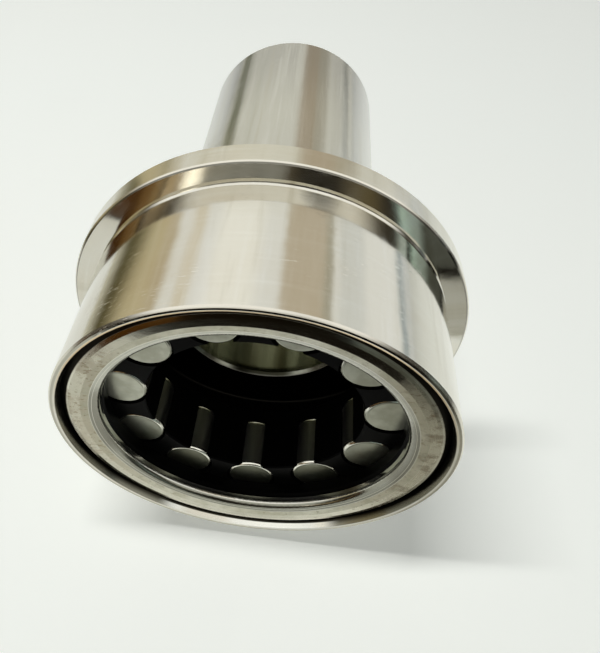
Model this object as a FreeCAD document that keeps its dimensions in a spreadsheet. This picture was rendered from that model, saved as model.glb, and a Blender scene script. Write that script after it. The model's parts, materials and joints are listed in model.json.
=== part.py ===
import FreeCAD, Part
import os
import Sketcher

# A caged cylindrical roller bearing without an inner ring, pressed into the mouth of a
# turned, flanged sleeve. The common axis is Y. The origin is on the axis, at the middle
# of the roller row. The mouth faces -Y, and the sleeve's tube runs out along +Y.
# All sizes are in millimetres and degrees.

DIMENSIONS = {
    # Sleeve, measured along the axis from its mouth rim.
    "seat_diameter": 65.0,
    "rim_chamfer": 0.35,
    "rim_break_width": 0.4,
    "rim_break_depth": 0.15,
    "lead_in_width": 0.4,
    "lead_in_length": 1.5,
    "relief_width": 1.3,
    "relief_depth": 0.25,
    "flange_diameter": 72.4,
    "flange_front": 25.4,
    "flange_thickness": 4.9,
    "flange_chamfer": 0.4,
    "shoulder_bore_diameter": 53.0,
    "cup_floor": 26.7,
    "cup_floor_fillet": 0.8,
    "tube_diameter": 41.5,
    "tube_root_fillet": 1.0,
    "tube_bore_diameter": 34.0,
    "bore_chamfer": 0.6,
    "tube_end_chamfer": 0.25,
    "sleeve_length": 101.0,
    # Outer ring.
    "ring_diameter": 62.0,
    "ring_width": 20.0,
    "ring_recess": 1.0,
    "face_ridge_diameter": 55.4,
    "face_inner_drop": 0.5,
    "face_flat_diameter": 58.2,
    "face_outer_drop": 0.15,
    "ring_edge_chamfer": 1.05,
    "ring_edge_length": 1.0,
    "rib_bore_diameter": 49.6,
    "rib_thickness": 2.25,
    "rib_corner_radius": 1.2,
    "raceway_diameter": 54.0,
    "undercut_depth": 0.25,
    "undercut_width": 0.6,
    # Rollers.
    "roller_count": 11,
    "roller_diameter": 9.0,
    "roller_length": 9.6,
    "roller_corner": 0.55,
    "raceway_clearance": 0.04,
    # Cage.
    "cage_side_play": 0.2,
    "cage_outer_clearance": 0.4,
    "cage_bore_diameter": 36.6,
    "cage_window_diameter": 49.4,
    "cage_nose_step": 0.65,
    "pocket_side_clearance": 0.15,
    "pocket_end_clearance": 0.2,
    "bar_edge_chamfer": 0.25,
}

# Lengths worked out from the driving dimensions, as formulas on the sheet's cells.
PITCH_RADIUS = "(dims.raceway_diameter / 2 - dims.roller_diameter / 2 - dims.raceway_clearance)"
RING_FRONT = "(0 - dims.ring_width / 2)"
MOUTH = f"({RING_FRONT} - dims.ring_recess)"
CAGE_LENGTH = "(dims.ring_width - 2 * dims.rib_thickness - 2 * dims.cage_side_play)"
POCKET_LENGTH = "(dims.roller_length + 2 * dims.pocket_end_clearance)"
POCKET_START = f"(({CAGE_LENGTH} - {POCKET_LENGTH}) / 2)"
ROLLER_STEP = "(360 / dims.roller_count)"

doc = FreeCAD.newDocument("roller_bearing_in_sleeve")


def make_sheet():
    """Put the driving dimensions into a spreadsheet, one alias to a cell."""
    sheet = doc.addObject("Spreadsheet::Sheet", "dims")
    for row, (name, size) in enumerate(DIMENSIONS.items(), start=1):
        sheet.set(f"A{row}", name)
        sheet.set(f"B{row}", str(size))
        sheet.setAlias(f"B{row}", name)
    doc.recompute()
    return sheet


def value(formula):
    """The number that a formula gives now."""
    return float(dims.evalExpression(formula))


def origin_feature(body, role):
    """One of a body's own origin planes or axes."""
    return next(item for item in body.Origin.OriginFeatures if item.Role == role)


def new_body(label):
    body = doc.addObject("PartDesign::Body", label)
    body.Label = label
    return body


def outline_sketch(body, corners):
    """Closed outline of straight sides, as (radius, height) formulas, in the XY plane."""
    sketch = body.newObject("Sketcher::SketchObject", body.Name + "_outline")
    sketch.AttachmentSupport = [(origin_feature(body, "XY_Plane"), "")]
    sketch.MapMode = "FlatFace"
    points = [FreeCAD.Vector(value(radius), value(height), 0) for radius, height in corners]
    for start, end in zip(points, points[1:] + points[:1]):
        sketch.addGeometry(Part.LineSegment(start, end), False)
    for side, point in enumerate(points):
        following = (side + 1) % len(points)
        sketch.addConstraint(Sketcher.Constraint("Coincident", side, 2, following, 1))
        radius, height = corners[side]
        if radius == "0":
            sketch.addConstraint(Sketcher.Constraint("PointOnObject", side, 1, -2))
        else:
            drive(sketch, "DistanceX", f"radius_{side}", side, point.x, radius)
        if height == "0":
            sketch.addConstraint(Sketcher.Constraint("PointOnObject", side, 1, -1))
        else:
            drive(sketch, "DistanceY", f"height_{side}", side, point.y, height)
    return sketch


def drive(sketch, kind, name, side, size, formula):
    """Hold a side's start point at a distance from the origin that a formula gives."""
    index = sketch.addConstraint(Sketcher.Constraint(kind, -1, 1, side, 1, size))
    sketch.renameConstraint(index, name)
    sketch.setExpression("Constraints." + name, formula)


def revolve(body, corners):
    """Turn an outline a full turn about the Y axis."""
    feature = body.newObject("PartDesign::Revolution", body.Name + "_turned")
    feature.Profile = outline_sketch(body, corners)
    feature.ReferenceAxis = (origin_feature(body, "Y_Axis"), [""])
    feature.Angle = 360
    doc.recompute()
    return feature


def circle_edges(shape, rims):
    """Names of the round edges at the given (radius, height) pairs."""
    names = []
    for number, edge in enumerate(shape.Edges, start=1):
        if not isinstance(edge.Curve, Part.Circle):
            continue
        for radius, height in rims:
            same_radius = abs(edge.Curve.Radius - value(radius)) < 0.01
            same_height = abs(edge.Curve.Center.y - value(height)) < 0.01
            if same_radius and same_height:
                names.append(f"Edge{number}")
    return names


def fillet(body, name, size, rims):
    """Round the turned edges at the given (radius, height) pairs."""
    base = body.Tip
    feature = body.newObject("PartDesign::Fillet", name)
    feature.Base = (base, circle_edges(base.Shape, rims))
    feature.setExpression("Radius", size)
    doc.recompute()
    return feature


def make_sleeve():
    """Cup for the bearing, flange and tube, turned in one piece. Heights are from the mouth."""
    seat = "dims.seat_diameter / 2"
    socket = "dims.ring_diameter / 2"
    relief = "dims.seat_diameter / 2 - dims.relief_depth"
    relief_start = "dims.flange_front - dims.relief_width"
    flange = "dims.flange_diameter / 2"
    flange_back = "dims.flange_front + dims.flange_thickness"
    tube = "dims.tube_diameter / 2"
    tube_bore = "dims.tube_bore_diameter / 2"
    shoulder = "dims.shoulder_bore_diameter / 2"
    shoulder_start = "dims.ring_recess + dims.ring_width"
    lead_in = "dims.ring_diameter / 2 + dims.lead_in_width"
    corners = [
        (lead_in, "dims.rim_break_depth"),
        (f"{lead_in} + dims.rim_break_width", "0"),
        (f"{seat} - dims.rim_chamfer", "0"),
        (seat, "dims.rim_chamfer"),
        (seat, relief_start),
        (relief, f"{relief_start} + dims.relief_depth"),
        (relief, "dims.flange_front - dims.relief_depth"),
        (seat, "dims.flange_front"),
        (f"{flange} - dims.flange_chamfer", "dims.flange_front"),
        (flange, "dims.flange_front + dims.flange_chamfer"),
        (flange, f"{flange_back} - dims.flange_chamfer"),
        (f"{flange} - dims.flange_chamfer", flange_back),
        (tube, flange_back),
        (tube, "dims.sleeve_length - dims.tube_end_chamfer"),
        (f"{tube} - dims.tube_end_chamfer", "dims.sleeve_length"),
        (f"{tube_bore} + dims.tube_end_chamfer", "dims.sleeve_length"),
        (tube_bore, "dims.sleeve_length - dims.tube_end_chamfer"),
        (tube_bore, "dims.cup_floor + dims.bore_chamfer"),
        (f"{tube_bore} + dims.bore_chamfer", "dims.cup_floor"),
        (shoulder, "dims.cup_floor"),
        (shoulder, shoulder_start),
        (socket, shoulder_start),
        (socket, "dims.lead_in_length"),
    ]
    body = new_body("sleeve")
    body.setExpression("Placement.Base.y", MOUTH)
    revolve(body, corners)
    fillet(body, "tube_root", "dims.tube_root_fillet", [(tube, flange_back)])
    fillet(body, "cup_floor_root", "dims.cup_floor_fillet", [(shoulder, "dims.cup_floor")])
    return body


def make_outer_ring():
    """Outer ring with a rib each side of its raceway. Heights are from its front face.

    Each face has a narrow flat, leans away gently outside it, and dips towards the bore.
    """
    outside = "dims.ring_diameter / 2"
    edge = "dims.ring_diameter / 2 - dims.ring_edge_chamfer"
    ridge = "dims.face_ridge_diameter / 2"
    flat = "dims.face_flat_diameter / 2"
    rib = "dims.rib_bore_diameter / 2"
    race = "dims.raceway_diameter / 2"
    undercut = "dims.raceway_diameter / 2 + dims.undercut_depth"

    def far(height):
        return f"dims.ring_width - ({height})"

    inner_drop = "dims.face_inner_drop"
    outer_drop = "dims.face_outer_drop"
    edge_end = "dims.face_outer_drop + dims.ring_edge_length"
    race_start = "dims.rib_thickness"
    undercut_end = "dims.rib_thickness + dims.undercut_width"
    corners = [
        (rib, inner_drop),
        (ridge, "0"),
        (flat, "0"),
        (edge, outer_drop),
        (outside, edge_end),
        (outside, far(edge_end)),
        (edge, far(outer_drop)),
        (flat, "dims.ring_width"),
        (ridge, "dims.ring_width"),
        (rib, far(inner_drop)),
        (rib, far(race_start)),
        (undercut, far(race_start)),
        (undercut, far(undercut_end)),
        (race, far(undercut_end)),
        (race, undercut_end),
        (undercut, undercut_end),
        (undercut, race_start),
        (rib, race_start),
    ]
    body = new_body("outer_ring")
    body.setExpression("Placement.Base.y", RING_FRONT)
    revolve(body, corners)
    corners_of_ribs = [(rib, inner_drop), (rib, far(inner_drop))]
    fillet(body, "rib_corners", "dims.rib_corner_radius", corners_of_ribs)
    return body


def make_cage():
    """Moulded cage: two end rings joined by bars that wrap the rollers.

    The front ring is cut back so that the roller ends show. Heights are from its front.
    """
    outside = "dims.raceway_diameter / 2 - dims.cage_outer_clearance"
    window = "dims.cage_window_diameter / 2"
    inside = "dims.cage_bore_diameter / 2"
    corners = [
        (f"{window} + dims.cage_nose_step", "0"),
        (f"{outside} - dims.bar_edge_chamfer", "0"),
        (outside, "dims.bar_edge_chamfer"),
        (outside, f"{CAGE_LENGTH} - dims.bar_edge_chamfer"),
        (f"{outside} - dims.bar_edge_chamfer", CAGE_LENGTH),
        (f"{inside} + dims.bar_edge_chamfer", CAGE_LENGTH),
        (inside, f"{CAGE_LENGTH} - dims.bar_edge_chamfer"),
        (inside, f"{POCKET_START} + dims.bar_edge_chamfer"),
        (f"{inside} + dims.bar_edge_chamfer", POCKET_START),
        (window, POCKET_START),
        (window, "dims.cage_nose_step"),
    ]
    body = new_body("cage")
    half_play = "dims.rib_thickness + dims.cage_side_play"
    body.setExpression("Placement.Base.y", f"{RING_FRONT} + {half_play}")
    turned = revolve(body, corners)
    add_pockets(body, turned)
    lean = FreeCAD.Rotation(FreeCAD.Vector(0, 1, 0), -value(ROLLER_STEP) / 2)
    body.Placement.Rotation = lean
    return body


def add_pockets(body, turned):
    """Bore the first roller pocket parallel to the axis, and repeat it round the cage."""
    sketch = body.newObject("Sketcher::SketchObject", "pocket_circle")
    sketch.AttachmentSupport = [(origin_feature(body, "XZ_Plane"), "")]
    sketch.MapMode = "FlatFace"
    sketch.setExpression("AttachmentOffset.Base.z", f"0 - {POCKET_START}")
    pitch = value(PITCH_RADIUS)
    reach = "dims.roller_diameter / 2 + dims.pocket_side_clearance"
    middle = FreeCAD.Vector(0, pitch, 0)
    sketch.addGeometry(Part.Circle(middle, FreeCAD.Vector(0, 0, 1), value(reach)), False)
    sketch.addConstraint(Sketcher.Constraint("PointOnObject", 0, 3, -2))
    height = sketch.addConstraint(Sketcher.Constraint("DistanceY", -1, 1, 0, 3, pitch))
    sketch.renameConstraint(height, "pitch")
    sketch.setExpression("Constraints.pitch", PITCH_RADIUS)
    radius = sketch.addConstraint(Sketcher.Constraint("Radius", 0, value(reach)))
    sketch.renameConstraint(radius, "reach")
    sketch.setExpression("Constraints.reach", reach)
    doc.recompute()
    pocket = body.newObject("PartDesign::Pocket", "first_pocket")
    pocket.Profile = sketch
    pocket.setExpression("Length", POCKET_LENGTH)
    doc.recompute()
    pattern = body.newObject("PartDesign::PolarPattern", "pockets")
    pattern.Originals = [pocket]
    pattern.Axis = (origin_feature(body, "Y_Axis"), [""])
    pattern.Angle = 360
    pattern.setExpression("Occurrences", "dims.roller_count")
    body.Tip = pattern
    doc.recompute()
    if not pattern.Shape.Volume < pocket.Shape.Volume < turned.Shape.Volume:
        raise RuntimeError("the roller pockets cut nothing")


def make_roller(number):
    """One solid roller. The gap between the last and the first one is at the top."""
    corners = [
        ("0", "0"),
        ("dims.roller_diameter / 2", "0"),
        ("dims.roller_diameter / 2", "dims.roller_length"),
        ("0", "dims.roller_length"),
    ]
    body = new_body(f"roller_{number:02d}")
    around = f"(90 + {ROLLER_STEP} * ({number} - 0.5)) * 1deg"
    body.setExpression("Placement.Base.x", f"{PITCH_RADIUS} * cos({around})")
    body.setExpression("Placement.Base.z", f"{PITCH_RADIUS} * sin({around})")
    body.setExpression("Placement.Base.y", "0 - dims.roller_length / 2")
    revolve(body, corners)
    ends = [("dims.roller_diameter / 2", "0"), ("dims.roller_diameter / 2", "dims.roller_length")]
    fillet(body, f"{body.Name}_corners", "dims.roller_corner", ends)
    return body


def check(bodies):
    """Stop if a feature has failed or a sub-part isn't one valid solid."""
    for item in doc.Objects:
        if "Invalid" in item.State or "Error" in item.State:
            raise RuntimeError(f"{item.Label} failed: {item.State}")
    for body in bodies:
        shape = body.Shape
        if shape.isNull() or not shape.isValid() or len(shape.Solids) != 1:
            raise RuntimeError(f"{body.Label} isn't one valid solid")


dims = make_sheet()
parts = [make_sleeve(), make_outer_ring(), make_cage()]
parts += [make_roller(number) for number in range(1, int(value("dims.roller_count")) + 1)]
doc.recompute()
check(parts)
os.makedirs("parts", exist_ok=True)
for part in parts:
    part.Shape.exportStep(f"parts/{part.Label}.step")
    print(part.Label, round(part.Shape.Volume, 1), part.Shape.BoundBox)
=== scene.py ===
import json
import math
from types import SimpleNamespace

import bpy
from mathutils import Matrix, Vector


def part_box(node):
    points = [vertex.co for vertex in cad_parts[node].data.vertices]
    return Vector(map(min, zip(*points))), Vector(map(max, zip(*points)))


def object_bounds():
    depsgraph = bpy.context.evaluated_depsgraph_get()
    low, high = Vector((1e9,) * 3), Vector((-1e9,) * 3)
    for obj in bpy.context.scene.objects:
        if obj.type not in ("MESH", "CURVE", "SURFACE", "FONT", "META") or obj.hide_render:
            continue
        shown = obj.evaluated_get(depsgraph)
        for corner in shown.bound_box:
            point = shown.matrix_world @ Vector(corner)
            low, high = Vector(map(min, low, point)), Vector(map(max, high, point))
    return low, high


MM = 0.001

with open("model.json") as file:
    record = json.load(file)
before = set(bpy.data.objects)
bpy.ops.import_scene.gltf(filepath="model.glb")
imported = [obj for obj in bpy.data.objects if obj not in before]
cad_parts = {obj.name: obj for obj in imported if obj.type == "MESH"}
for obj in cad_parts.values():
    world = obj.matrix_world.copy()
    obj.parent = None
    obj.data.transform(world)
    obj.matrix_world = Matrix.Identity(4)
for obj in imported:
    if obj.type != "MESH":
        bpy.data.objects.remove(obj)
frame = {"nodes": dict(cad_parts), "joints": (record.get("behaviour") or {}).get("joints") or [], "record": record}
cad_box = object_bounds()
scene = bpy.context.scene
mounts = {mount["name"]: mount for mount in frame["record"]["mounts"]}


def mount_radius(name):
    """The radius of a round mount, in metres."""
    return mounts[name]["dims"]["r_mm"] * MM


def mount_place(name):
    """How far along the axis a mount sits, in metres."""
    return mounts[name]["pos_m"][1]


# Places along the axis and radii that tell the machined surfaces apart.
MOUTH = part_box("sleeve")[0].y
TUBE_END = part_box("sleeve")[1].y
FLANGE_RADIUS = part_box("sleeve")[1].z
FLANGE_FRONT = mount_place("flange_shoulder")
FLANGE_BACK = mount_place("flange_back")
CUP_RADIUS = mount_radius("housing_seat")
BORE_RADIUS = mount_radius("tube_bore")
RING_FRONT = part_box("outer_ring")[0].y
RING_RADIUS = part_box("outer_ring")[1].z
CORNER_RADIUS = RING_RADIUS - 1.05 * MM
RIDGE_RADIUS = 27.7 * MM
LIP_RADIUS = 26.4 * MM
LIP_LINE_RADII = (25.9 * MM, 26.4 * MM)
RIB_RADIUS = 24.8 * MM
DISH = math.radians(2.2)


# ---------------------------------------------------------------- node helpers
class Nodes:
    """Adds nodes to one tree. Methods other than add and put return output sockets."""

    def __init__(self, tree):
        self.tree = tree
        tree.nodes.clear()

    def add(self, kind, **settings):
        node = self.tree.nodes.new(kind)
        for name, value in settings.items():
            setattr(node, name, value)
        return node

    def put(self, socket, value):
        """Links a socket into an input, or sets the input's own value."""
        if isinstance(value, bpy.types.NodeSocket):
            self.tree.links.new(value, socket)
        elif isinstance(value, (tuple, list)) and len(socket.default_value) == 4:
            socket.default_value = (*value, 1.0)
        else:
            socket.default_value = value

    def math(self, operation, *values):
        node = self.add("ShaderNodeMath", operation=operation)
        for socket, value in zip(node.inputs, values):
            self.put(socket, value)
        return node.outputs[0]

    def times(self, first, *others):
        """The product of the values."""
        for other in others:
            first = self.math("MULTIPLY", first, other)
        return first

    def plus(self, first, second):
        return self.math("ADD", first, second)

    def swing(self, noise, size):
        """Noise of 0 to 1 made to swing about 0, by half of size either way."""
        return self.times(self.math("SUBTRACT", noise, 0.5), size)

    def degrees(self, radians):
        return self.times(radians, 180 / math.pi)

    def combine(self, x, y, z):
        node = self.add("ShaderNodeCombineXYZ")
        for socket, value in zip(node.inputs, (x, y, z)):
            self.put(socket, value)
        return node.outputs[0]

    def separate(self, vector):
        """The three outputs X, Y and Z."""
        node = self.add("ShaderNodeSeparateXYZ")
        self.put(node.inputs[0], vector)
        return node.outputs

    def object_point(self):
        """The surface point in the frame at rest, so a pattern turns with its piece."""
        return self.add("ShaderNodeTexCoord").outputs["Object"]

    def ease(self, value, low, high):
        """0 below low, 1 above high and smooth between. Turned round if low is above high."""
        node = self.add("ShaderNodeMapRange", interpolation_type="SMOOTHSTEP")
        self.put(node.inputs["Value"], value)
        first, last = (low, high) if low < high else (high, low)
        node.inputs["From Min"].default_value = first
        node.inputs["From Max"].default_value = last
        node.inputs["To Min"].default_value = 0.0 if low < high else 1.0
        node.inputs["To Max"].default_value = 1.0 if low < high else 0.0
        return node.outputs[0]

    def between(self, value, low, high, soft):
        """1 between low and high, with soft edges."""
        rise = self.ease(value, low - soft, low + soft)
        fall = self.ease(value, high + soft, high - soft)
        return self.times(rise, fall)

    def noise(self, point, scale, detail=2.0, roughness=0.5, turn=None):
        """Noise from 0 to 1, scale features to one unit of the point. Turn is a fourth coordinate."""
        node = self.add("ShaderNodeTexNoise", noise_dimensions="4D" if turn is not None else "3D")
        self.put(node.inputs["Vector"], point)
        if turn is not None:
            self.put(node.inputs["W"], turn)
        node.inputs["Scale"].default_value = scale
        node.inputs["Detail"].default_value = detail
        node.inputs["Roughness"].default_value = roughness
        return node.outputs[0]

    def blend(self, share, first, second):
        """A number: first where share is 0, second where it is 1."""
        node = self.add("ShaderNodeMix", data_type="FLOAT")
        self.put(node.inputs[0], share)
        self.put(node.inputs[2], first)
        self.put(node.inputs[3], second)
        return node.outputs[0]

    def colour(self, share, first, second):
        """A colour: first where share is 0, second where it is 1."""
        node = self.add("ShaderNodeMix", data_type="RGBA")
        self.put(node.inputs[0], share)
        self.put(node.inputs[6], first)
        self.put(node.inputs[7], second)
        return node.outputs[2]


class Turned(Nodes):
    """A material for a piece turned about an axis along Y.

    It keeps that axis's coordinates, and the colour, roughness and normal as they are built up.
    """

    def __init__(self, name, centre=None):
        self.material = bpy.data.materials.new(name)
        self.material.use_nodes = True
        super().__init__(self.material.node_tree)
        self.point = self.object_point()
        x, self.along, z = self.separate(self.point)
        if centre is not None:
            x = self.math("SUBTRACT", x, centre[0])
            z = self.math("SUBTRACT", z, centre[1])
        self.across, self.up = x, z
        squares = self.plus(self.math("POWER", x, 2.0), self.math("POWER", z, 2.0))
        self.radius = self.math("SQRT", squares)
        self.sine = self.math("DIVIDE", x, self.radius)
        self.cosine = self.math("DIVIDE", z, self.radius)
        self.base = self.rough = self.normal = None

    def lathe(self, pitch, length, detail=3.0):
        """Noise drawn out round the axis: marks about pitch wide and length radians long."""
        ring = self.combine(
            self.math("DIVIDE", self.sine, length),
            self.math("DIVIDE", self.cosine, length),
            self.math("DIVIDE", self.along, pitch),
        )
        return self.noise(ring, 1.0, detail, 0.6, self.math("DIVIDE", self.radius, pitch))

    def paint(self, share, colour):
        """Lays a colour over the base colour where share is 1."""
        self.base = self.colour(share, self.base, colour)

    def polish(self, share, rough):
        """Gives the surface another roughness where share is 1."""
        self.rough = self.blend(share, self.rough, rough)

    def roughen(self, amount):
        self.rough = self.plus(self.rough, amount)

    def bump(self, height, distance, strength=1.0):
        """Relief from a height of 0 to 1, where 1 stands distance metres proud."""
        node = self.add("ShaderNodeBump")
        self.put(node.inputs["Strength"], strength)
        node.inputs["Distance"].default_value = distance
        self.put(node.inputs["Height"], height)
        if self.normal is not None:
            self.put(node.inputs["Normal"], self.normal)
        self.normal = node.outputs[0]

    def finish(self, metallic, **fixed):
        """Joins all of it to one shader, and sets that shader's other inputs."""
        self.shader = self.add("ShaderNodeBsdfPrincipled")
        self.put(self.shader.inputs["Base Color"], self.base)
        self.put(self.shader.inputs["Roughness"], self.rough)
        self.put(self.shader.inputs["Normal"], self.normal)
        self.shader.inputs["Metallic"].default_value = metallic
        for name, value in fixed.items():
            self.shader.inputs[name.replace("_", " ")].default_value = value
        output = self.add("ShaderNodeOutputMaterial")
        self.tree.links.new(self.shader.outputs[0], output.inputs[0])
        return self.material


# --------------------------------------------------------------- sleeve's steel
def sleeve_zones(m):
    """How far a point belongs to each surface of the sleeve, from 0 to 1."""
    y, r = m.along, m.radius
    outside = m.ease(r, CUP_RADIUS - 0.9 * MM, CUP_RADIUS - 0.5 * MM)
    before_flange = m.ease(y, FLANGE_FRONT + 0.2 * MM, FLANGE_FRONT - 0.3 * MM)
    behind_ring = m.between(y, 0.0, FLANGE_BACK - 2.5 * MM, 1.0 * MM)
    under_ring = m.ease(r, RING_RADIUS + 0.2 * MM, RING_RADIUS - 0.2 * MM)
    round_bore = m.ease(r, BORE_RADIUS + 0.3 * MM, BORE_RADIUS + 0.7 * MM)
    return SimpleNamespace(
        cup=m.times(outside, before_flange),
        flange_rim=m.ease(r, FLANGE_RADIUS - 0.5 * MM, FLANGE_RADIUS - 0.2 * MM),
        tube=m.ease(y, FLANGE_BACK, FLANGE_BACK + 1.2 * MM),
        bore=m.ease(r, BORE_RADIUS + 0.8 * MM, BORE_RADIUS + 0.3 * MM),
        cavity=m.times(under_ring, behind_ring, round_bore),
        rim_face=m.ease(y, MOUTH + 0.4 * MM, MOUTH + 0.3 * MM),
        flange_chamfer=m.ease(y, FLANGE_FRONT + 0.45 * MM, FLANGE_FRONT + 0.35 * MM),
    )


def paint_ground_steel(m, zones, coarse, clouds):
    """Bare steel: warmer in places, duller towards the tube's end, each surface as rough as it is."""
    cool, warm, bright = (0.70, 0.68, 0.61), (0.66, 0.62, 0.53), (0.80, 0.80, 0.76)
    satin, dull_satin = (0.62, 0.615, 0.58), (0.47, 0.465, 0.45)
    m.base = m.colour(m.ease(clouds, 0.42, 0.72), cool, warm)
    m.paint(m.times(m.ease(coarse, 0.45, 0.8), 0.25), bright)
    m.paint(zones.tube, satin)
    m.paint(m.times(zones.tube, m.ease(m.along, TUBE_END - 36 * MM, TUBE_END - 2 * MM)), dull_satin)

    m.rough = 0.06
    for zone, rough in ((zones.cup, 0.11), (zones.flange_rim, 0.15), (zones.tube, 0.15),
                        (zones.bore, 0.16), (zones.cavity, 0.35)):
        m.polish(zone, rough)
    m.roughen(m.swing(coarse, 0.05))
    m.roughen(m.swing(clouds, 0.08))


def paint_wiped_streaks(m):
    """Soft streaks along the sleeve, where it was wiped and scrubbed lengthwise."""
    share, bright, dull = 0.28, (0.80, 0.80, 0.78), (0.50, 0.47, 0.38)
    lengthwise = m.combine(m.times(m.sine, 9.0), m.times(m.cosine, 9.0), m.times(m.along, 20.0))
    wiped = m.noise(lengthwise, 1.0, 4.0, 0.6)
    m.paint(m.times(m.ease(wiped, 0.50, 0.66), share), bright)
    m.paint(m.times(m.ease(wiped, 0.48, 0.32), share), dull)
    m.roughen(m.times(m.ease(wiped, 0.40, 0.65), 0.04))


def paint_inside(m, zones):
    """Painted reflection: light and dark streaks along the bore. The bore's mouth is darker at the top and bottom
    than at the sides. Painted shade: the cavity behind the ring is black.
    """
    dark_streak, light_streak = (0.22, 0.22, 0.165), (0.58, 0.59, 0.50)
    dark, black = (0.03, 0.03, 0.02), (0.012, 0.011, 0.009)
    # Painted reflection: streaks along the bore, light and dark, stand in for the bands that it mirrors.
    streaks = m.noise(m.combine(m.sine, m.cosine, m.times(m.along, 4.0)), 3.2, 3.0)
    m.paint(zones.bore, m.colour(m.ease(streaks, 0.40, 0.62), dark_streak, light_streak))
    # The bore's mouth is painted dark at the top and bottom, less so at the sides.
    side_share = m.times(m.ease(m.math("ABSOLUTE", m.sine), 0.25, 0.55), 0.7)
    mouth = m.times(zones.bore, m.ease(m.along, FLANGE_FRONT + 3.5 * MM, FLANGE_FRONT + 2.5 * MM))
    m.paint(m.times(mouth, m.math("SUBTRACT", 1.0, side_share)), dark)
    # Painted shade: the deep cavity behind the ring is painted black.
    m.paint(zones.cavity, black)


def paint_edge_highlights(m, zones):
    """Painted highlights: a bright line round the rim and round the flange, with a line of painted shade inside
    the flange's.
    """
    r = m.radius
    bright, shade, dull = (0.74, 0.71, 0.63), (0.20, 0.19, 0.16), (0.46, 0.44, 0.37)
    # Painted shade: a dark line just inside the flange's edge.
    shaded = m.between(r, FLANGE_RADIUS - 0.42 * MM, FLANGE_RADIUS - 0.2 * MM, 0.04 * MM)
    m.paint(m.times(shaded, zones.flange_chamfer), shade)
    # Painted highlight: a bright line on the rim's and the flange's outer edges.
    rim_highlight = m.times(m.ease(r, CUP_RADIUS - 0.4 * MM, CUP_RADIUS - 0.3 * MM), zones.rim_face)
    flange_highlight = m.times(m.ease(r, FLANGE_RADIUS - 0.24 * MM, FLANGE_RADIUS - 0.16 * MM),
                          zones.flange_chamfer)
    edge = m.math("MAXIMUM", rim_highlight, flange_highlight)
    m.paint(edge, bright)
    m.polish(edge, 0.22)
    flat = m.between(r, CUP_RADIUS - 0.75 * MM, CUP_RADIUS - 0.3 * MM, 0.1 * MM)
    m.paint(m.times(zones.rim_face, flat), dull)


def paint_mouth_wall(m, zones, clouds):
    """Inside the rim: a brown tint at the top, sides that darken deeper in as painted shade, and at the bottom a
    painted reflection near the rim with painted shade, black, deeper in.
    """
    y, r = m.along, m.radius
    top_brown, black = (0.62, 0.47, 0.28), (0.02, 0.018, 0.012)
    dull, deep_side_shade, bottom_reflection = (0.26, 0.25, 0.20), (0.04, 0.036, 0.026), (0.86, 0.85, 0.79)
    top = m.ease(m.cosine, 0.1, 0.7)
    inner_edge = m.ease(r, CUP_RADIUS - 0.8 * MM, CUP_RADIUS - 0.88 * MM)
    m.paint(m.times(zones.rim_face, inner_edge, top), top_brown)

    wall = m.times(m.ease(r, CUP_RADIUS - 1.02 * MM, CUP_RADIUS - 1.08 * MM),
                   m.ease(y, RING_FRONT + 4 * MM, RING_FRONT + 3 * MM),
                   m.math("SUBTRACT", 1.0, top))
    # Painted shade: the sides go from dull to near black deeper inside the rim.
    side = m.colour(m.ease(y, MOUTH + 0.2 * MM, MOUTH + 1.2 * MM), dull, deep_side_shade)
    # Painted reflection, bright, at the bottom near the rim; painted shade, black, deeper in.
    bottom = m.colour(m.ease(y, MOUTH + 0.95 * MM, MOUTH + 1.1 * MM), bottom_reflection, black)
    painted_light = m.ease(m.plus(m.cosine, m.swing(clouds, 0.12)), -0.82, -0.90)
    m.paint(wall, m.colour(painted_light, side, bottom))
    m.polish(wall, 0.2)


def paint_pits(m):
    """A few dark pits: small spots in one cell of a Voronoi pattern in fifteen."""
    cells_to_the_metre, rust = 240.0, (0.12, 0.09, 0.06)
    pits = m.add("ShaderNodeTexVoronoi", feature="F1")
    m.put(pits.inputs["Vector"], m.point)
    m.put(pits.inputs["Scale"], cells_to_the_metre)
    chosen = m.ease(m.separate(pits.outputs["Color"])[0], 0.93, 0.94)
    spot = m.ease(pits.outputs["Distance"], 0.1, 0.05)
    m.paint(m.times(chosen, spot, 0.7), rust)


def paint_scratches(m, zones):
    """Handling scratches, thin, short and mostly round the sleeve. Returns where they are."""
    bare_metal = (0.90, 0.89, 0.84)
    thin = m.ease(m.lathe(0.2 * MM, 0.05, 1.0), 0.63, 0.72)
    handled = m.ease(m.noise(m.point, 90.0, 2.0), 0.48, 0.62)
    scratch = m.times(thin, handled, m.math("MAXIMUM", zones.cup, m.times(zones.tube, 0.35)))
    m.paint(m.times(scratch, 0.6), bare_metal)
    m.roughen(m.times(scratch, 0.12))
    return scratch


def sleeve_steel():
    """Ground cup, polished flange face, satin tube, and painted highlights on the edges."""
    m = Turned("sleeve_steel")
    zones = sleeve_zones(m)
    coarse = m.lathe(0.7 * MM, 0.35)
    clouds = m.noise(m.point, 55.0, 4.0)
    paint_ground_steel(m, zones, coarse, clouds)
    paint_wiped_streaks(m)
    paint_inside(m, zones)
    paint_edge_highlights(m, zones)
    paint_mouth_wall(m, zones, clouds)
    paint_pits(m)
    scratch = paint_scratches(m, zones)

    # The flange's front is ground a touch hollow: it leans back by DISH from the root outwards.
    proud = m.math("MAXIMUM", m.math("SUBTRACT", m.radius, CUP_RADIUS - 0.2 * MM), 0.0)
    front = m.math("LESS_THAN", m.along, FLANGE_FRONT + 1 * MM)
    m.bump(m.times(proud, -math.tan(DISH)), 1.0, strength=front)
    m.bump(m.noise(m.point, 130.0, 2.0), 0.045 * MM)
    m.bump(m.lathe(0.12 * MM, 0.5), 0.0008 * MM)
    m.bump(coarse, 0.004 * MM)
    m.bump(scratch, 0.006 * MM)
    return m.finish(metallic=1.0)


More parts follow.
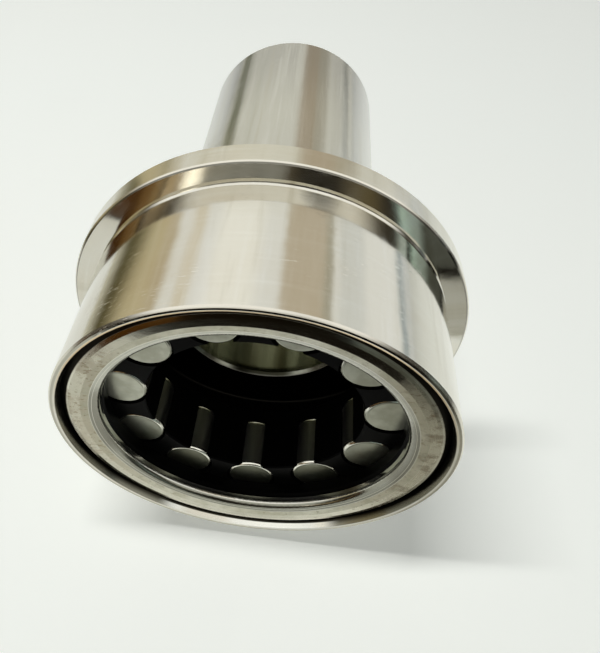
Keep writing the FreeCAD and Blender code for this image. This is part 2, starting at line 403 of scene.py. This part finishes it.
# ----------------------------------------------------------- outer ring's steel
def ring_zones(m):
    """How far a point belongs to each surface of the ring, from 0 to 1."""
    y, r = m.along, m.radius
    face = m.ease(y, RING_FRONT + 1.6 * MM, RING_FRONT + 1.2 * MM)
    lapped = m.times(face, m.ease(r, LIP_RADIUS, LIP_RADIUS + 0.15 * MM))
    # Where a line of painted highlight runs just inside the corner.
    highlight_line = m.between(r, CORNER_RADIUS - 0.35 * MM, CORNER_RADIUS - 0.1 * MM, 0.1 * MM)
    return SimpleNamespace(
        face=face,
        lapped=lapped,
        inner=m.times(lapped, m.ease(r, RIDGE_RADIUS + 0.1 * MM, RIDGE_RADIUS - 0.1 * MM)),
        rib_edge=m.ease(r, RIB_RADIUS + 0.14 * MM, RIB_RADIUS + 0.06 * MM),
        behind_rib=m.ease(y, RING_FRONT + 2.6 * MM, RING_FRONT + 2.9 * MM),
        highlight_line=m.times(face, highlight_line),
        corner=m.ease(r, CORNER_RADIUS - 0.08 * MM, CORNER_RADIUS + 0.04 * MM),
        sides=m.math("ABSOLUTE", m.sine),
    )


def paint_lip(m, zones, grit):
    """The rounded lip, with painted shade low down and at the sides, and a painted highlight on the rib's edge.
    Behind the rib it is painted black as shade.
    """
    low, high, speckled = (0.26, 0.26, 0.22), (0.56, 0.56, 0.50), (0.30, 0.29, 0.23)
    dull, bright, black = (0.13, 0.12, 0.09), (0.72, 0.71, 0.65), (0.012, 0.011, 0.009)
    # Painted shade: the lip is darker low down than at the top.
    m.base = m.colour(m.ease(m.cosine, -0.75, 0.35), low, high)
    m.paint(m.times(grit, 0.6), speckled)
    # Painted shade at the sides.
    m.paint(m.times(m.ease(zones.sides, 0.90, 0.97), 0.6), dull)
    # Painted highlight on the rib's edge, and painted shade, black, behind the rib.
    m.paint(zones.rib_edge, bright)
    m.paint(zones.behind_rib, black)


def paint_lapped_face(m, zones, blotch, grit):
    """The lapped face: evenly grey outside the ridge, mottled inside it."""
    dark, light, grey = (0.42, 0.40, 0.30), (0.64, 0.62, 0.52), (0.50, 0.49, 0.40)
    even = (0.62, 0.60, 0.51)
    mottled = m.colour(m.ease(blotch, 0.3, 0.7), dark, light)
    mottled = m.colour(m.times(m.ease(grit, 0.35, 0.65), 0.4), mottled, grey)
    m.paint(zones.lapped, m.colour(0.5, mottled, even))
    m.paint(zones.inner, mottled)


def paint_fretting(m, zones, blotch, grit, cloud):
    """Brown wear, specks, short marks and stains, mostly at the sides. Returns where it is worn."""
    brown, speckle = (0.44, 0.37, 0.25), (0.20, 0.15, 0.09)
    dark_stain, dark_mark = (0.20, 0.155, 0.10), (0.26, 0.20, 0.12)
    at_sides = m.times(zones.lapped, m.ease(zones.sides, 0.55, 0.95))
    on_right = m.times(zones.lapped, m.ease(m.sine, 0.70, 0.95))
    fretting = m.plus(m.plus(blotch, m.times(cloud, 0.5)), m.times(m.sine, 0.06))
    worn = m.times(at_sides, m.ease(fretting, 0.52, 0.92), m.blend(on_right, 1.0, 0.45))
    m.paint(m.times(worn, 0.6), brown)
    m.paint(m.times(zones.lapped, m.ease(grit, 0.61, 0.67), 0.6), speckle)

    stain = m.times(on_right, m.ease(m.noise(m.point, 330.0, 4.0, 0.6), 0.50, 0.64))
    m.paint(m.times(stain, 0.6), dark_stain)
    drawn_out = m.combine(m.times(m.across, 0.45), m.along, m.up)
    marks = m.ease(m.noise(drawn_out, 1500.0, 2.0, 0.6), 0.57, 0.63)
    marks = m.times(marks, m.ease(cloud, 0.40, 0.55), zones.lapped, m.ease(zones.sides, 0.5, 0.9))
    m.paint(m.times(marks, 0.6), dark_mark)
    return worn


def paint_ring_lines(m, zones):
    """Fine turned lines round the lip, and a line of painted highlight before the corner, which is painted black
    as shade in the gap.
    """
    bright, painted_light, gap_shade = (0.74, 0.72, 0.64), (0.80, 0.78, 0.70), (0.014, 0.011, 0.008)
    half_width = 0.03 * MM
    for radius in LIP_LINE_RADII:
        line = m.between(m.radius, radius - half_width, radius + half_width, half_width)
        m.paint(m.times(zones.face, line), bright)
    # Painted highlight just inside the corner, and painted shade, black, on the corner where it lies in the gap.
    m.paint(m.times(zones.highlight_line, 0.5), painted_light)
    m.paint(zones.corner, gap_shade)


def ring_steel():
    """Hardened ring: satin lapped face with brown fretting, fine lines round the lip."""
    m = Turned("ring_steel")
    zones = ring_zones(m)
    blotch = m.noise(m.point, 260.0, 5.0, 0.65)
    grit = m.noise(m.point, 1100.0, 3.0, 0.7)
    cloud = m.noise(m.point, 70.0, 3.0)
    paint_lip(m, zones, grit)
    paint_lapped_face(m, zones, blotch, grit)
    worn = paint_fretting(m, zones, blotch, grit, cloud)
    paint_ring_lines(m, zones)

    m.rough = 0.16
    for zone, rough in ((zones.lapped, 0.12), (zones.inner, 0.34), (worn, 0.45), (zones.corner, 0.5)):
        m.polish(zone, rough)
    m.roughen(m.swing(m.lathe(0.5 * MM, 0.5), 0.1))
    m.bump(m.lathe(0.1 * MM, 0.6), 0.001 * MM)
    m.bump(m.times(blotch, zones.lapped), 0.006 * MM)
    m.bump(m.times(grit, zones.lapped), 0.003 * MM)
    return m.finish(metallic=1.0)


# -------------------------------------------------------------- other materials
def roller_steel(body):
    """The finish of one roller about that roller's own axis."""
    joint = next(joint for joint in frame["joints"] if joint["child"] == body)
    m = Turned("steel_" + body, centre=(joint["pos_m"][0], joint["pos_m"][2]))
    low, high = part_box(body)
    half_length = high.y
    radius = (high.x - low.x) / 2
    from_middle = m.math("ABSOLUTE", m.along)
    end = m.ease(from_middle, half_length - 0.12 * MM, half_length - 0.05 * MM)

    # The ends are ground, and painted shade makes those that lie low in the bearing darker.
    barrel, light = (0.36, 0.36, 0.33), (0.50, 0.51, 0.43)
    grey, dark = (0.37, 0.37, 0.30), (0.12, 0.13, 0.08)
    cloud = m.noise(m.point, 300.0, 4.0)
    height = m.separate(m.point)[2]
    face = m.colour(m.ease(cloud, 0.35, 0.65), light, grey)
    face = m.colour(m.times(m.ease(height, 2 * MM, -20 * MM), 0.65), face, dark)
    m.base = m.colour(end, barrel, face)

    # The rounded corner is polished, with a painted highlight on its upper side and painted shade on its lower
    # side, and a thin line of painted shade parts the upper side from the ground face.
    shade_line = (0.05, 0.05, 0.035)
    corner_shade, corner_highlight = (0.18, 0.18, 0.14), (0.86, 0.85, 0.76)
    upper = m.ease(m.up, -0.1 * radius, 0.4 * radius)
    line = m.between(m.radius, radius - 0.72 * MM, radius - 0.58 * MM, 0.06 * MM)
    m.paint(m.times(end, line, upper, 0.8), shade_line)
    corner = m.times(m.ease(m.radius, radius - 0.5 * MM, radius - 0.4 * MM),
                     m.ease(from_middle, half_length - 0.7 * MM, half_length - 0.6 * MM))
    m.paint(corner, m.colour(upper, corner_shade, corner_highlight))

    fine = m.lathe(0.08 * MM, 0.7)
    m.rough = 0.3
    m.polish(corner, 0.2)
    m.roughen(m.swing(fine, 0.12))
    m.bump(fine, 0.0008 * MM)
    return m.finish(metallic=1.0)


def cage_nylon():
    """Black glass-filled nylon: satin skin with a fine moulded grain."""
    m = Turned("cage_nylon")
    grain = m.noise(m.point, 2600.0, 3.0, 0.6)
    flow = m.noise(m.point, 180.0, 3.0)
    black, lighter_black = (0.0010, 0.0010, 0.0010), (0.0020, 0.0020, 0.0018)
    m.base = m.colour(flow, black, lighter_black)
    m.rough = m.blend(flow, 0.28, 0.4)
    m.roughen(m.swing(grain, 0.15))
    m.bump(grain, 0.01 * MM)
    return m.finish(metallic=0.0, Specular_IOR_Level=0.03)


def floor_laminate():
    """Pale laminate table top, lifted a little as a bright exposure lifts it."""
    m = Turned("floor")
    cool_white, warm_white = (0.83, 0.86, 0.83), (0.86, 0.87, 0.83)
    m.base = m.colour(m.noise(m.point, 9.0, 3.0), cool_white, warm_white)
    m.rough = 0.6
    m.bump(m.noise(m.point, 140.0, 4.0), 0.05 * MM)

    # Painted reflection: only the steel's reflections see the floor glow duller on the left and brighter on the
    # right; the camera sees the plain glow.
    left, right, plain = (0.85, 0.86, 0.82), (1.25, 1.28, 1.22), (0.96, 1.0, 0.965)
    mirrored = m.add("ShaderNodeLightPath").outputs["Is Glossy Ray"]
    glow = m.colour(mirrored, plain, m.colour(m.ease(m.across, -0.05, 0.08), left, right))
    m.finish(metallic=0.0, Specular_IOR_Level=0.1, Emission_Strength=0.28)
    m.put(m.shader.inputs["Emission Color"], glow)
    return m.material


def put_material(node, material):
    node.data.materials.clear()
    node.data.materials.append(material)


# ---------------------------------------------------------------------- studio
FLOOR_HEIGHT = cad_box[0].z
FLOOR_SIZE = 3.0

# Soft panels round the room. The angle is measured about the sleeve's axis from straight up,
# positive towards +X, in degrees: (angle, half width, softness, colour).
CUP_PANELS = [
    (-80, 12, 8, (0.60, 0.52, 0.33)),
    (-66, 4, 5, (0.57, 0.49, 0.33)),
    (-48, 4, 4, (0.80, 0.74, 0.60)),
    (-20, 14, 12, (1.06, 1.06, 1.0)),
    (23, 14, 4, (0.60, 0.53, 0.41)),
    (37, 2.5, 2, (0.46, 0.44, 0.35)),
    (52, 8, 4, (0.78, 0.80, 0.78)),
    (88, 2.5, 1.5, (0.30, 0.36, 0.38)),
]
TUBE_PANELS = [
    (-82, 8, 6, (0.19, 0.195, 0.13)),
    (-52, 4, 6, (0.72, 0.72, 0.62)),
    (24, 12, 7, (0.50, 0.43, 0.32)),
    (42, 8, 6, (0.50, 0.47, 0.37)),
    (66, 8, 8, (0.70, 0.69, 0.60)),
    (81, 4, 4, (0.27, 0.28, 0.25)),
]
CUP_ROOM = (0.92, 0.93, 0.90)
TUBE_ROOM = (0.80, 0.79, 0.69)

# Lamps and dark things in front of the mouth, in degrees: (bearing from -Y towards +X, elevation,
# half angle, softness, colour). The later ones lie over the earlier ones.
PATCHES = [
    (-23, 19, 7.5, 2.5, (0.38, 0.385, 0.36)),
    (-13, 23, 7, 2.5, (0.38, 0.385, 0.37)),
    (-4, 27, 5.5, 2.5, (0.38, 0.385, 0.37)),
    (-37, 1, 7, 7, (0.72, 0.57, 0.36)),
    (-32, 12, 3.5, 3.5, (3.4, 3.3, 3.0)),
    (31, 12, 6, 6, (0.16, 0.13, 0.065)),
    (18, 28, 9.5, 3, (0.012, 0.009, 0.004)),
    (45, -1, 4, 4, (0.85, 1.0, 0.97)),
]
FRONT_LOW = (0.035, 0.028, 0.02)
FRONT_HIGH = (0.10, 0.085, 0.06)
CEILING = (1.12, 1.12, 1.08)
DIFFUSE_FILL = (0.03, 0.032, 0.03)
BACKDROP = (0.74, 0.77, 0.74)


def room_behind(n, direction):
    """The panels, as the sides of the cup mirror them and, further back, as the tube does."""
    x, y, z = n.separate(direction)
    around = n.degrees(n.math("ARCTAN2", x, z))
    rooms = []
    for room, panels in ((CUP_ROOM, CUP_PANELS), (TUBE_ROOM, TUBE_PANELS)):
        for angle, half, soft, colour in panels:
            share = n.between(around, angle - half, angle + half, soft / 2)
            room = n.colour(share, room, colour)
        rooms.append(room)
    return n.colour(n.ease(y, 0.76, 0.85), *rooms)


def room_in_front(n, direction):
    """A dark front half with a ceiling and the patches."""
    _, y, z = n.separate(direction)
    height = n.degrees(n.math("ARCSINE", z))
    off_axis = n.degrees(n.math("ARCCOSINE", n.times(y, -1.0)))
    front = n.colour(n.ease(height, 5, 25), FRONT_LOW, FRONT_HIGH)
    ceiling = n.times(n.ease(off_axis, 34, 38), n.ease(height, 12, 26))
    front = n.colour(ceiling, front, CEILING)
    for bearing, elevation, half, soft, colour in PATCHES:
        b, e = math.radians(bearing), math.radians(elevation)
        centre = (math.sin(b) * math.cos(e), -math.cos(b) * math.cos(e), math.sin(e))
        dot = n.add("ShaderNodeVectorMath", operation="DOT_PRODUCT")
        n.put(dot.inputs[0], direction)
        n.put(dot.inputs[1], centre)
        away = n.degrees(n.math("ARCCOSINE", dot.outputs["Value"]))
        front = n.colour(n.ease(away, half + soft, half - soft), front, colour)
    return front


def make_world():
    """A pale room with soft panels, as reflections see it, and plain even light for the rest."""
    world = bpy.data.worlds.new("studio")
    scene.world = world
    world.use_nodes = True
    n = Nodes(world.node_tree)
    direction = n.add("ShaderNodeTexCoord").outputs["Generated"]
    forwards = n.ease(n.separate(direction)[1], -0.05, -0.35)
    room = n.colour(forwards, room_behind(n, direction), room_in_front(n, direction))
    path = n.add("ShaderNodeLightPath")
    room = n.colour(path.outputs["Is Diffuse Ray"], room, DIFFUSE_FILL)
    room = n.colour(path.outputs["Is Camera Ray"], room, BACKDROP)
    background = n.add("ShaderNodeBackground")
    n.put(background.inputs["Color"], room)
    output = n.add("ShaderNodeOutputWorld")
    n.tree.links.new(background.outputs[0], output.inputs[0])


def make_floor():
    bpy.ops.mesh.primitive_plane_add(size=FLOOR_SIZE, location=(0, 0, FLOOR_HEIGHT))
    floor = bpy.context.object
    floor.name = "floor"
    floor.data.materials.append(floor_laminate())


def card_material(name, stops):
    """Light whose colours run along the card's depth: stops of (share of the depth, colour)."""
    material = bpy.data.materials.new(name)
    material.use_nodes = True
    n = Nodes(material.node_tree)
    along = n.separate(n.object_point())[1]
    colour = stops[0][1]
    for (first, _), (last, upper) in zip(stops, stops[1:]):
        colour = n.colour(n.ease(along, first - 0.5, last - 0.5), colour, upper)
    glow = n.add("ShaderNodeEmission")
    n.put(glow.inputs["Color"], colour)
    output = n.add("ShaderNodeOutputMaterial")
    n.tree.links.new(glow.outputs[0], output.inputs[0])
    return material


def reflection_card(name, width, depth, place, turn, stops):
    """A card that only reflections see."""
    bpy.ops.mesh.primitive_plane_add(size=1.0)
    card = bpy.context.object
    card.name = name
    card.matrix_world = Matrix.Translation(place) @ turn @ Matrix.Diagonal((width, depth, 1, 1))
    card.data.materials.append(card_material(name, stops))
    card.visible_camera = False
    card.visible_diffuse = False
    card.visible_shadow = False


def turned_by(degrees, axis="Z"):
    return Matrix.Rotation(math.radians(degrees), 4, axis)


def make_front_cards():
    """The dark edge of the table in front of the mouth, with what lies on it and beyond it.

    The cards lie just above the floor, each a little above the one that it covers.
    """
    level = FLOOR_HEIGHT + 0.3 * MM
    black = (0.006, 0.004, 0.002)
    depth = 1.5
    slant = turned_by(8.5)
    edge = Vector((0, MOUTH - 41 * MM, level))
    middle = edge + slant @ Vector((0, -depth / 2, 0))
    reflection_card("front_card", 3.0, depth, middle, slant, [(0.0, black)])
    reflection_card("front_left_card", 0.50, 1.44, (-0.295, -0.783, level + 0.3 * MM), turned_by(0),
                    [(0.0, (0.50, 0.38, 0.20)), (0.60, (0.46, 0.33, 0.16)),
                     (0.92, (0.20, 0.11, 0.035)), (0.98, (0.07, 0.028, 0.005))])
    reflection_card("front_right_card", 0.44, 0.525, (0.26, -0.3125, level + 0.3 * MM), turned_by(0),
                    [(0.26, (0.66, 0.88, 0.82)), (0.80, (0.38, 0.46, 0.44)),
                     (0.93, (0.085, 0.09, 0.075))])
    reflection_card("shade_card", 30 * MM, 90 * MM, (45 * MM, -34 * MM, FLOOR_HEIGHT + 0.2 * MM),
                    turned_by(90), [(0.62, (0.46, 0.46, 0.40)), (0.93, (0.80, 0.82, 0.79))])


def make_left_cards():
    """Two dark things that stand on the table to the left of the sleeve."""
    tall = 76 * MM
    bearing = turned_by(63)
    upright = bearing @ turned_by(90, "X") @ turned_by(14)
    corner = Vector((-112 * MM, 137 * MM, FLOOR_HEIGHT + tall / 2))
    lower, upper = (0.60, 0.58, 0.46), (0.58, 0.51, 0.32)
    for name, width, along, dark in (("left_card", 0.165, -83 * MM, (0.10, 0.085, 0.035)),
                                     ("far_left_card", 0.035, 17 * MM, (0.38, 0.35, 0.21))):
        place = corner + bearing @ Vector((along, 0, 0))
        reflection_card(name, width, tall, place, upright, [(0.0, lower), (0.44, dark), (0.95, upper)])


def make_key_light():
    """A long softbox above the mouth, lying left and right and leaning to the left."""
    aside, height = 0.22, 0.75
    data = bpy.data.lights.new("key", "AREA")
    data.shape = "RECTANGLE"
    data.size = 0.50
    data.size_y = 0.04
    data.energy = 4.2
    data.color = (1.0, 1.0, 0.98)
    light = bpy.data.objects.new("key", data)
    light.location = (-aside, -0.002, height)
    light.rotation_euler = (0, -math.atan2(aside, height), math.radians(8.2))
    light.visible_glossy = False
    scene.collection.objects.link(light)


def make_camera():
    """A camera close above the mouth, looking down along the sleeve."""
    looks_down_by, looks_left_by = 47.02, 7.52
    data = bpy.data.cameras.new("camera")
    data.sensor_width = 36.0
    data.lens = 33.0
    data.shift_x = 0.0974
    data.shift_y = -0.0360
    data.clip_start = 1 * MM
    data.clip_end = 5.0
    camera = bpy.data.objects.new("camera", data)
    camera.location = Vector((4.39, -59.38, 85.44)) * MM
    camera.rotation_euler = (math.radians(90 - looks_down_by), 0, math.radians(looks_left_by))
    scene.collection.objects.link(camera)
    scene.camera = camera


put_material(frame["nodes"]["sleeve"], sleeve_steel())
put_material(frame["nodes"]["outer_ring"], ring_steel())
put_material(frame["nodes"]["cage"], cage_nylon())
for name, node in frame["nodes"].items():
    if name.startswith("roller_"):
        put_material(node, roller_steel(name))

make_world()
make_floor()
make_front_cards()
make_left_cards()
make_key_light()
make_camera()
scene.view_settings.view_transform = "Standard"
